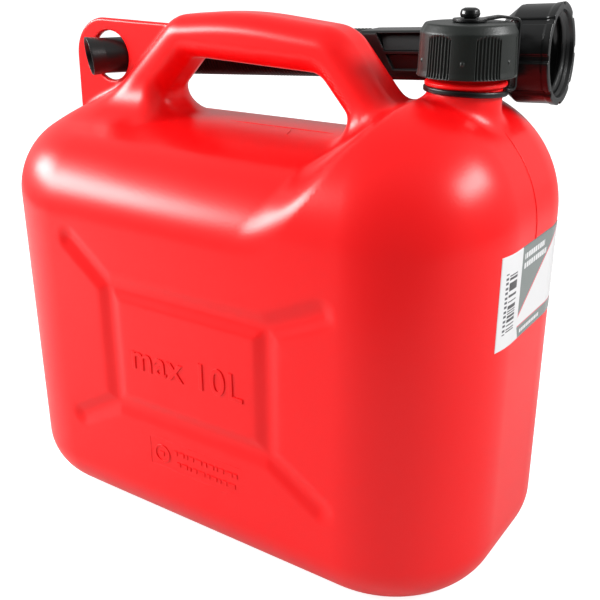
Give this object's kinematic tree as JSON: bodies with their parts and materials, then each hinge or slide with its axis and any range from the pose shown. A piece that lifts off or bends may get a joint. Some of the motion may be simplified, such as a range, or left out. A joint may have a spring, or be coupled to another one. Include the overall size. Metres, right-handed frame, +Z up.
{
  "type": "fuel can with stowed spout",
  "caption": "Moulded fuel can with a raised carrying handle, a tethered screw cap and a flexible pouring spout stowed behind the handle.",
  "frame": {"origin": "centre of the can's underside", "axes": "+X runs along the can to the filler end, -Y faces the viewed long side, +Z is up"},
  "size_m": [0.3153, 0.1684, 0.3008],
  "materials": {
    "tank_plastic": "satin red blow-moulded polyethylene",
    "cap_plastic": "matt dark grey-green moulded plastic",
    "leash_plastic": "smooth black plastic",
    "nut_plastic": "semi-gloss black moulded plastic with paler worn edges",
    "spout_plastic": "semi-gloss black moulded plastic",
    "hose_plastic": "corrugated black flexible plastic",
    "seal_foam": "pale closed foam",
    "seal_rubber": "black rubber",
    "label_film": "printed film label"
  },
  "bodies": {
    "can": {"tank_shell": "tank_plastic", "leash": "leash_plastic", "label": "label_film"},
    "cap_button": {"leash_button": "leash_plastic"},
    "cap": {"cap_shell": "cap_plastic", "cap_liner": "seal_foam"},
    "spout": {"spout_base": "spout_plastic", "spout_gasket": "seal_rubber", "spout_hose": "hose_plastic", "spout_nozzle": "spout_plastic"},
    "nut": {"spout_nut": "nut_plastic"}
  },
  "joints": [
    {"name": "cap_rise", "type": "slide", "parent": "can", "child": "cap_button", "axis": [0, 0, 1], "range_m": [0, 0.0101], "deforming": ["leash"]},
    {"name": "cap_turn", "type": "hinge", "parent": "cap_button", "child": "cap", "pos_m": [0.1157, 0, 0.288], "axis": [0, 0, 1], "range_deg": [0, 720]},
    {"name": "spout_pull", "type": "slide", "parent": "can", "child": "spout", "axis": [0.5592, 0.829, 0], "range_m": [0, 0.045]},
    {"name": "nut_spin", "type": "hinge", "parent": "spout", "child": "nut", "pos_m": [0.145, 0.05, 0.2765], "axis": [0.9972, 0.0579, 0.0484], "continuous": true}
  ],
  "couplings": [
    {"joint": "cap_rise", "follows": "cap_turn", "m_per_rad": 0.00079577}
  ]
}
